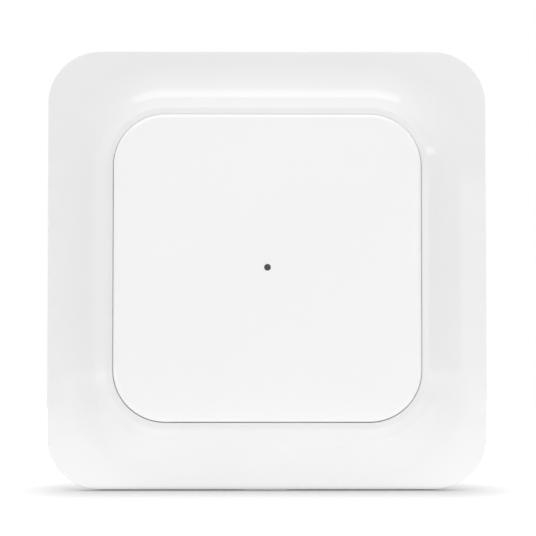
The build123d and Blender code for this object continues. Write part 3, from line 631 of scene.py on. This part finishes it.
class TRANSMITTER_OT_cover_frame(bpy.types.Operator):
    """Coved cover frame: one section round the opening, ribbed behind"""

    bl_idname = "transmitter.cover_frame"
    bl_label = "Cover Frame"

    def execute(self, context):
        sizes = context.scene.transmitter_sizes
        opening = sizes.gap_middle + sizes.plate_gap / 2
        flat = sizes.plate_half - sizes.plate_corner
        cove_top = (sizes.cove_foot - sizes.cove_width, sizes.rim_depth + sizes.cove_rise)

        def collar(half, depth):
            return rounded_square(half, half - flat, depth)

        def outline(half, depth):
            return rounded_square(half, sizes.frame_corner - (sizes.frame_half - half), depth)

        ledge_reach = 0.9 * MM
        rim_thickness = 1.5 * MM
        rim_under = sizes.rim_depth - rim_thickness
        back_edge = 0.2 * MM

        # The front: lip, crest, flank and cove
        lip_middle = (opening + sizes.lip_radius, sizes.crest_depth - sizes.lip_radius)
        tilt = sizes.crest_tilt
        sink = (sizes.crest_reach - lip_middle[0]) * math.tan(tilt)
        sink += (sizes.crest_radius - sizes.lip_radius) / math.cos(tilt)
        crease_middle = (sizes.crest_reach, lip_middle[1] - sink)
        flank = flank_angle(cove_top, crease_middle, sizes.crest_radius)
        front = [(opening, LEDGE_FRONT)]
        front += arc(lip_middle, sizes.lip_radius, -90, math.degrees(tilt), steps=12)
        front += arc(crease_middle, sizes.crest_radius, math.degrees(tilt), flank, steps=10)
        cove_radius = (sizes.cove_width ** 2 + sizes.cove_rise ** 2) / (2 * sizes.cove_rise)
        cove_turn = math.degrees(math.asin(sizes.cove_width / cove_radius))
        front += arc((sizes.cove_foot, sizes.rim_depth + cove_radius), cove_radius,
                     180 + cove_turn, 180, steps=28)

        # The back: the hollow under the cove and the collar's wall
        flank_wall, flank_drop, flank_rise = 1.03 * MM, 0.95 * MM, 0.55 * MM
        hollow_end = (cove_top[0] - flank_wall, cove_top[1] - flank_drop)
        reach = sizes.cove_foot - hollow_end[0]
        rise = hollow_end[1] - rim_under
        hollow_radius = (reach ** 2 + rise ** 2) / (2 * rise)
        hollow_turn = math.degrees(math.asin(reach / hollow_radius))
        hollow = arc((sizes.cove_foot, rim_under + hollow_radius), hollow_radius,
                     180, 180 + hollow_turn, steps=14)
        collar_out = opening + WALL
        hollow += [(collar_out, hollow_end[1] + flank_rise), (collar_out, COLLAR_BACK)]

        rim_half = sizes.frame_half - sizes.frame_draft
        edge = arc((rim_half - sizes.rim_edge, sizes.rim_depth - sizes.rim_edge), sizes.rim_edge,
                   0, 90, steps=10)
        side = edge + [(sizes.frame_half, sizes.frame_back + back_edge)]
        side += [(sizes.frame_half - back_edge, sizes.frame_back)]
        inside = [(sizes.frame_half - WALL, sizes.frame_back), (sizes.frame_half - WALL, rim_under)]

        ledge = opening - ledge_reach
        loops = [collar(ledge, COLLAR_BACK), collar(ledge, LEDGE_FRONT)]
        loops += [collar(*point) for point in front]
        loops += [outline(*point) for point in side + inside]
        loops += [collar(*point) for point in hollow]

        mesh = bmesh.new()
        skin_loops(mesh, loops)
        piece = piece_from(mesh, "cover_frame_shell")

        cut_or_join(piece, self.ribs(sizes, collar_out, rim_under, hollow_radius, cove_radius), "UNION")
        cut_or_join(piece, self.notches(opening, sizes.frame_half, sizes.frame_back), "DIFFERENCE")
        smooth(piece)
        white = gloss_plastic("Frame Gloss White", context.scene.transmitter_colours.frame_white)
        finish_piece(piece, white, "transmitter", "frame_white", "cover_frame")
        return {"FINISHED"}

    def ribs(self, sizes, collar_out, rim_under, hollow_radius, cove_radius):
        """Ribs, locators and corner ribs behind the front, as one tool."""
        rib = 0.5 * MM
        rib_back = 2.6 * MM
        rib_places = (10 * MM, 20 * MM)
        locator_reach = 35.7 * MM
        locator_back = 0.9 * MM
        locator_places = (14 * MM, 25 * MM)
        sunk = 0.4 * MM

        def inside_front(half):
            """Half way through the shell, between its front and its back."""
            away = max(0.0, sizes.cove_foot - half)
            front = sizes.rim_depth + cove_radius - math.sqrt(cove_radius ** 2 - away ** 2)
            back = rim_under + hollow_radius - math.sqrt(hollow_radius ** 2 - away ** 2)
            return (front + back) / 2

        cove_top = sizes.cove_foot - sizes.cove_width
        halves = [cove_top + sizes.cove_width * step / 6 for step in range(7)]
        under = [(half, inside_front(half)) for half in halves]
        wall_in = sizes.frame_half - WALL + sunk
        section = [(collar_out + OVERLAP, rib_back), (wall_in, rib_back)]
        section += [(wall_in, inside_front(wall_in)), *reversed(under)]
        section += [(collar_out - sunk, under[0][1]), (collar_out - sunk, COLLAR_BACK + OVERLAP)]
        section += [(collar_out + OVERLAP, COLLAR_BACK + OVERLAP)]
        foot = inside_front(wall_in)
        locator = [(locator_reach, locator_back), (wall_in, locator_back)]
        locator += [(wall_in, foot), (locator_reach, inside_front(locator_reach))]

        # A corner rib runs along the diagonal, where the collar's section lies further out
        flat = sizes.plate_half - sizes.plate_corner
        shift = flat * (math.sqrt(2) - 1)
        wall_corner = sizes.frame_corner - WALL
        corner_out = (sizes.frame_half - WALL - wall_corner) * math.sqrt(2) + wall_corner + sunk
        corner = [(a + shift, b) for a, b in section if a < wall_in]
        corner = [corner[0], (corner_out, rib_back), (corner_out, foot)] + corner[1:]

        mesh = bmesh.new()
        for quarter in range(4):
            def place(a, b, c, turn=math.pi / 2 * quarter):
                return Vector((a * math.cos(turn) - c * math.sin(turn), -b,
                               a * math.sin(turn) + c * math.cos(turn)))

            def place_corner(a, b, c, turn=math.pi / 2 * quarter + math.pi / 4):
                return place(a, b, c, turn)

            for side in (-1, 1):
                for offset in rib_places:
                    prism(mesh, section, side * offset - rib, side * offset + rib, place)
                for offset in locator_places:
                    prism(mesh, locator, side * offset - rib, side * offset + rib, place)
            prism(mesh, corner, -rib, rib, place_corner)
        return piece_from(mesh, "frame_ribs")

    def notches(self, opening, frame_half, frame_back):
        """Room in the ledge for the snap arms of the wall plate, and a pry notch at the bottom."""
        arm_places = (-13 * MM, 13 * MM)
        arm_half_width = 4.7 * MM
        arm_reach = 1.8 * MM
        arm_front = LEDGE_FRONT + 0.02 * MM
        pry_half_width = 4 * MM
        pry_front = frame_back + 1.0 * MM

        mesh = bmesh.new()
        outline = self.block(opening - arm_reach, opening, arm_front)
        for side in (-1, 1):
            for x in arm_places:
                prism(mesh, outline, x - arm_half_width, x + arm_half_width,
                      lambda a, b, c, s=side: Vector((c, -b, s * a)))
        prism(mesh, self.block(frame_half - WALL, frame_half + WALL, pry_front),
              -pry_half_width, pry_half_width, lambda a, b, c: Vector((c, -b, -a)))
        return piece_from(mesh, "arm_notches")

    def block(self, low, high, front):
        """Outline of a block from the wall up to a depth."""
        return [(low, 0), (high, 0), (high, front), (low, front)]


class TRANSMITTER_OT_rocker(bpy.types.Operator):
    """Rocker: the plate that is pressed, its carrier and the light pipe"""

    bl_idname = "transmitter.rocker"
    bl_label = "Rocker"

    def execute(self, context):
        sizes = context.scene.transmitter_sizes
        colours = context.scene.transmitter_colours
        inset = sizes.plate_half - sizes.plate_corner
        plate_half = sizes.gap_middle - sizes.plate_gap / 2

        def outline(half, depth):
            return rounded_square(half, half - inset, depth)

        thickness = 1.6 * MM
        skirt_back = 9.5 * MM
        skirt_wall = 1.4 * MM
        skirt_edge = 0.1 * MM
        slope_drop = 0.85 * MM
        slope_inset = 0.1 * MM
        foot_radius = 0.15 * MM
        inner_radius = 0.3 * MM
        flat_middle = 6 * MM
        under = sizes.plate_depth - thickness

        foot = (plate_half, sizes.plate_depth - slope_drop)
        crease_middle = (plate_half - sizes.plate_slope - slope_inset,
                         sizes.plate_depth - sizes.plate_crease)
        slope = flank_angle(foot, crease_middle, sizes.plate_crease)
        section = arc(crease_middle, sizes.plate_crease, 0, slope, steps=10)
        section += arc((plate_half - foot_radius, foot[1] - foot_radius), foot_radius, slope, 90, steps=4)
        section += [(plate_half, skirt_back + skirt_edge)]
        section += [(plate_half - skirt_edge, skirt_back)]
        section += [(plate_half - skirt_wall, skirt_back)]
        section += arc((plate_half - skirt_wall - inner_radius, under - inner_radius), inner_radius,
                       90, 0, steps=4)

        rim = outline(*section[0])
        hole = sizes.light_hole
        break_edge = 0.05 * MM
        loops = [circle_to(rim, hole, under), circle_to(rim, hole, sizes.plate_depth - break_edge)]
        loops += [circle_to(rim, hole + break_edge, sizes.plate_depth)]
        loops += [circle_to(rim, flat_middle, sizes.plate_depth)]
        loops += [outline(*point) for point in section]
        loops += [circle_to(rim, flat_middle, under)]
        mesh = bmesh.new()
        skin_loops(mesh, loops)
        bmesh.ops.translate(mesh, verts=mesh.verts, vec=(0, 0, sizes.plate_lift))
        piece = piece_from(mesh, "rocker_cap")
        cut_or_join(piece, self.hooks(under), "UNION")
        smooth(piece)
        white = gloss_plastic("Plate Gloss White", colours.plate_white)
        finish_piece(piece, white, "rocker", "plate_white", "rocker_plate")
        finish_node("rocker_carrier", satin_plastic("Carrier Grey", colours.case_grey, 0.5))
        finish_node("light_pipe", smoke_pipe("Pipe Smoke", colours.smoke))
        return {"FINISHED"}

    def hooks(self, under):
        """Four hooks behind the plate, which clip through the carrier."""
        inner, outer = 18.4 * MM, 19.3 * MM
        nose = outer + 0.55 * MM
        nose_front, nose_back, tip = 9.45 * MM, 9.3 * MM, 8.98 * MM
        root = under + OVERLAP
        half_width = 2.5 * MM
        places = (-7 * MM, 7 * MM)
        outline = [(inner, root), (outer, root), (outer, nose_front)]
        outline += [(nose, nose_front), (nose, nose_back), (outer, tip), (inner, tip)]
        mesh = bmesh.new()
        for side in (-1, 1):
            for z in places:
                prism(mesh, outline, z - half_width, z + half_width,
                      lambda a, b, c, s=side: Vector((s * a, -b, c)))
        return piece_from(mesh, "plate_hooks")


class TRANSMITTER_OT_wall_plate(bpy.types.Operator):
    """Wall plate in satin white"""

    bl_idname = "transmitter.wall_plate"
    bl_label = "Wall Plate"

    def execute(self, context):
        colour = context.scene.transmitter_colours.satin_white
        finish_node("wall_plate", satin_plastic("Wall Plate White", colour, 0.42, 7e-6))
        return {"FINISHED"}


class TRANSMITTER_OT_module_case(bpy.types.Operator):
    """Module's tub and cover in fine-grained grey, with their screws"""

    bl_idname = "transmitter.module_case"
    bl_label = "Module Case"

    def execute(self, context):
        grey = context.scene.transmitter_colours.case_grey
        finish_node("module_tub", satin_plastic("Tub Grey", grey, 0.52))
        finish_node("module_cover", satin_plastic("Cover Grey", grey, 0.5))
        finish_node("module_screws", metal("Screw Zinc", (0.62, 0.64, 0.67), 0.3))
        return {"FINISHED"}


class TRANSMITTER_OT_coin_cell(bpy.types.Operator):
    """Coin cell: nickel-plated can and cap with a black seal"""

    bl_idname = "transmitter.coin_cell"
    bl_label = "Coin Cell"

    def execute(self, context):
        low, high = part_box("cell_can")
        middle = ((low.x + high.x) / 2, (low.z + high.z) / 2)
        steel = metal("Cell Steel", (0.66, 0.66, 0.65), 0.24, 1.0, middle, 3000.0, 1.2e-6)
        finish_node("cell_can", steel)
        finish_node("cell_cap", steel)
        finish_node("cell_seal", soft_rubber("Seal Black", (0.02, 0.02, 0.021), 0.5, 0.0))
        return {"FINISHED"}


class TRANSMITTER_OT_cell_contacts(bpy.types.Operator):
    """Spring contacts of the coin cell"""

    bl_idname = "transmitter.cell_contacts"
    bl_label = "Cell Contacts"

    def execute(self, context):
        steel = metal("Spring Steel", (0.68, 0.67, 0.63), 0.26)
        finish_node("positive_contact", steel)
        finish_node("negative_contact", steel)
        return {"FINISHED"}


class TRANSMITTER_OT_key_mat(bpy.types.Operator):
    """Silicone key mat and its carbon pills, each given a mesh of its own"""

    bl_idname = "transmitter.key_mat"
    bl_label = "Key Mat"

    def execute(self, context):
        finish_node("key_mat", soft_rubber("Silicone", (0.52, 0.53, 0.52), 0.55, 0.25))
        finish_node("contact_pills", soft_rubber("Carbon", (0.018, 0.018, 0.02), 0.6, 0.0))
        for name in ("key_mat", "contact_pills"):
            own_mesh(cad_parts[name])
        return {"FINISHED"}


class TRANSMITTER_OT_circuit_board(bpy.types.Operator):
    """Circuit board with its gold pads and status light"""

    bl_idname = "transmitter.circuit_board"
    bl_label = "Circuit Board"

    def execute(self, context):
        green = context.scene.transmitter_colours.board_green
        finish_node("circuit_board", solder_mask("Board Green", green))
        finish_node("contact_pads", metal("Gold Plate", (0.83, 0.6, 0.22), 0.22))
        finish_node("status_led", satin_plastic("Light Body", (0.72, 0.7, 0.55), 0.25, 2e-6))
        return {"FINISHED"}


class TRANSMITTER_OT_board_parts(bpy.types.Operator):
    """Parts soldered to the back of the board"""

    bl_idname = "transmitter.board_parts"
    bl_label = "Board Parts"

    def execute(self, context):
        green = context.scene.transmitter_colours.board_green
        finish_node("radio_board", solder_mask("Radio Board Green", shade(green, 0.8)))
        finish_node("radio_shield", metal("Shield Steel", (0.72, 0.72, 0.7), 0.3))
        finish_node("controller", satin_plastic("Chip Black", (0.022, 0.022, 0.024), 0.5, 5e-6, 4500.0))
        finish_node("controller_legs", metal("Tinned Legs", (0.74, 0.74, 0.73), 0.3))
        finish_node("crystal", metal("Crystal Can", (0.7, 0.7, 0.68), 0.2))
        finish_node("buffer_capacitor", satin_plastic("Tantalum Amber", (0.62, 0.3, 0.06), 0.4, 3e-6))
        finish_node("chip_capacitors", satin_plastic("Ceramic Tan", (0.4, 0.27, 0.17), 0.45, 3e-6))
        finish_node("chip_resistors", satin_plastic("Resistor Black", (0.03, 0.03, 0.034), 0.4, 3e-6))
        return {"FINISHED"}


class TRANSMITTER_OT_antenna(bpy.types.Operator):
    """Enamelled quarter-wave wire"""

    bl_idname = "transmitter.antenna"
    bl_label = "Antenna Wire"

    def execute(self, context):
        finish_node("antenna_wire", metal("Copper Wire", (0.72, 0.29, 0.13), 0.25, scale=6000.0))
        return {"FINISHED"}


class TRANSMITTER_OT_learn_switch(bpy.types.Operator):
    """Learn switch and the button that presses it"""

    bl_idname = "transmitter.learn_switch"
    bl_label = "Learn Switch"

    def execute(self, context):
        grey = context.scene.transmitter_colours.case_grey
        finish_node("learn_switch_base", satin_plastic("Switch Black", (0.025, 0.025, 0.027), 0.5))
        finish_node("learn_switch_cover", metal("Switch Steel", (0.7, 0.7, 0.68), 0.28))
        finish_node("learn_stem", satin_plastic("Stem Black", (0.03, 0.03, 0.03), 0.4))
        finish_node("learn_button", satin_plastic("Button Grey", shade(grey, 0.55), 0.4))
        return {"FINISHED"}


def area_lamp(name, place, size, energy, lights=True, mirrored=True):
    """A lamp that looks at the object's middle. One that doesn't light only shows as a highlight,
    and one that isn't mirrored leaves none."""
    lamp = bpy.data.lights.new(name, "AREA")
    lamp.shape = "RECTANGLE"
    lamp.size, lamp.size_y = size
    lamp.energy = energy
    holder = bpy.data.objects.new(name, lamp)
    holder.location = place
    holder.rotation_euler = (-Vector(place)).to_track_quat("-Z", "Y").to_euler()
    holder.visible_camera = False
    holder.visible_diffuse = lights
    holder.visible_glossy = mirrored
    bpy.context.scene.collection.objects.link(holder)
    return holder


class TRANSMITTER_OT_studio(bpy.types.Operator):
    """White floor, soft lamps, room light and the camera"""

    bl_idname = "transmitter.studio"
    bl_label = "Studio"

    def execute(self, context):
        studio = context.scene.transmitter_studio
        self.floor()
        self.room(studio.room_light)
        for lamp in LAMPS:
            area_lamp(*lamp)
        under_frame = (0, -0.0125, frame_low.z + 0.0005)
        bounce = area_lamp("Floor Bounce", under_frame, (0.11, 0.0145), 0.0021)
        bounce.rotation_euler = (math.pi, 0, 0)
        self.camera(context, studio)
        context.scene.view_settings.view_transform = "Standard"
        return {"FINISHED"}

    def floor(self):
        """A wide pale floor that the frame stands on. It keeps the shadow, deepened by a painted shadow
        round the frame's footprint, and stays white elsewhere.
        """
        half = 3.0
        lit_tone, seen_tone = 0.9, 0.5
        footprint = (0.03, 0.006, 0)
        stretch = (2.5, 1, 1)
        # The glow near the frame starts low and paints a shadow round its footprint
        painted_shadow_reach, painted_shadow_glow = 0.045, (0.1, 0.5)
        far_reach, far_glow = (0.1, 0.5), 0.6

        mesh = bmesh.new()
        bmesh.ops.create_grid(mesh, x_segments=24, y_segments=24, size=half)
        floor = piece_from(mesh, "studio_floor")
        floor.location.z = frame_low.z
        material, tree, shader = new_material("Studio Floor White")
        tone = map_to(tree, seen_rays(tree), 0.0, 1.0, lit_tone, seen_tone)
        tree.links.new(tone, shader.inputs["Base Color"])
        shader.inputs["Roughness"].default_value = 0.6
        shader.inputs["Specular IOR Level"].default_value = 0.2

        # Painted shadow: the glow is weakest at the frame's footprint and grows with the distance from
        # it, fastest to the sides
        where = tree.nodes.new("ShaderNodeTexCoord")
        reach = vector_step(tree, "ABSOLUTE", where.outputs["Object"])["Vector"]
        beyond = vector_step(tree, "SUBTRACT", reach, footprint)["Vector"]
        clear = vector_step(tree, "MAXIMUM", beyond)["Vector"]
        stretched = vector_step(tree, "MULTIPLY", clear, stretch)["Vector"]
        away = vector_step(tree, "LENGTH", stretched)["Value"]
        near = map_to(tree, away, 0.0, painted_shadow_reach, *painted_shadow_glow)
        far = map_to(tree, away, *far_reach, 0.0, far_glow)
        glow = combine(tree, "MULTIPLY", combine(tree, "ADD", near, far), seen_rays(tree))
        tree.links.new(glow, shader.inputs["Emission Strength"])
        shader.inputs["Emission Color"].default_value = (1, 1, 1, 1)
        floor.data.materials.append(material)

    def room(self, strength):
        """Light from all round, weaker at the sides, and white where the camera or a gloss sees it."""
        middle_share, side_share = 1.12, 0.7
        side_start = 0.2
        world = bpy.data.worlds.new("Studio Room")
        world.use_nodes = True
        tree = world.node_tree
        background = tree.nodes["Background"]
        background.inputs["Color"].default_value = (1, 1, 1, 1)
        where = tree.nodes.new("ShaderNodeTexCoord")
        parts = tree.nodes.new("ShaderNodeSeparateXYZ")
        tree.links.new(where.outputs["Generated"], parts.inputs["Vector"])
        side = combine(tree, "ABSOLUTE", parts.outputs["X"])
        room = map_to(tree, side, side_start, 1.0, strength * middle_share, strength * side_share)
        level = tree.nodes.new("ShaderNodeMapRange")
        level.inputs["To Max"].default_value = 1.0
        tree.links.new(room, level.inputs["To Min"])
        tree.links.new(seen_rays(tree), level.inputs["Value"])
        tree.links.new(level.outputs["Result"], background.inputs["Strength"])
        bpy.context.scene.world = world

    def camera(self, context, studio):
        """A long lens, low in front of the object, turned up towards its middle."""
        data = bpy.data.cameras.new("Studio Camera")
        rim = context.scene.transmitter_sizes.rim_depth
        away = studio.camera_distance
        across = 2 * context.scene.transmitter_sizes.frame_half
        focal = studio.outline_pixels * away / across
        data.sensor_width = 36.0
        data.lens = data.sensor_width * focal / IMAGE_SIDE
        data.clip_start = 0.01
        data.clip_end = 20.0
        camera = bpy.data.objects.new("Studio Camera", data)
        place = Vector((studio.camera_across, -away - rim, studio.camera_height))
        camera.location = place
        metres = across / studio.outline_pixels
        target = Vector((-studio.middle_right * metres, -rim, studio.middle_down * metres))
        camera.rotation_euler = (target - place).to_track_quat("-Z", "Y").to_euler()
        context.scene.collection.objects.link(camera)
        context.scene.camera = camera


OPERATORS = (
    TRANSMITTER_OT_cover_frame,
    TRANSMITTER_OT_rocker,
    TRANSMITTER_OT_wall_plate,
    TRANSMITTER_OT_module_case,
    TRANSMITTER_OT_coin_cell,
    TRANSMITTER_OT_cell_contacts,
    TRANSMITTER_OT_key_mat,
    TRANSMITTER_OT_circuit_board,
    TRANSMITTER_OT_board_parts,
    TRANSMITTER_OT_antenna,
    TRANSMITTER_OT_learn_switch,
    TRANSMITTER_OT_studio,
)


class TRANSMITTER_PT_pieces(bpy.types.Panel):
    """Lists the operators that build the transmitter"""

    bl_idname = "TRANSMITTER_PT_pieces"
    bl_label = "Radio Wall Transmitter"
    bl_space_type = "VIEW_3D"
    bl_region_type = "UI"
    bl_category = "Transmitter"

    def draw(self, context):
        for operator in OPERATORS:
            self.layout.operator(operator.bl_idname)
        for settings in ("transmitter_sizes", "transmitter_colours", "transmitter_studio"):
            group = getattr(context.scene, settings)
            box = self.layout.box()
            for name in group.bl_rna.properties.keys():
                if name not in {"rna_type", "name"}:
                    box.prop(group, name)


CLASSES = (
    TransmitterSizes,
    TransmitterColours,
    TransmitterStudio,
    *OPERATORS,
    TRANSMITTER_PT_pieces,
)


def register():
    for item in CLASSES:
        bpy.utils.register_class(item)
    bpy.types.Scene.transmitter_sizes = PointerProperty(type=TransmitterSizes)
    bpy.types.Scene.transmitter_colours = PointerProperty(type=TransmitterColours)
    bpy.types.Scene.transmitter_studio = PointerProperty(type=TransmitterStudio)


def unregister():
    del bpy.types.Scene.transmitter_studio
    del bpy.types.Scene.transmitter_colours
    del bpy.types.Scene.transmitter_sizes
    for item in reversed(CLASSES):
        bpy.utils.unregister_class(item)


def main():
    """Build every piece and the studio."""
    register()
    bpy.ops.transmitter.cover_frame()
    bpy.ops.transmitter.rocker()
    bpy.ops.transmitter.wall_plate()
    bpy.ops.transmitter.module_case()
    bpy.ops.transmitter.coin_cell()
    bpy.ops.transmitter.cell_contacts()
    bpy.ops.transmitter.key_mat()
    bpy.ops.transmitter.circuit_board()
    bpy.ops.transmitter.board_parts()
    bpy.ops.transmitter.antenna()
    bpy.ops.transmitter.learn_switch()
    bpy.ops.transmitter.studio()


if __name__ == "__main__":
    main()
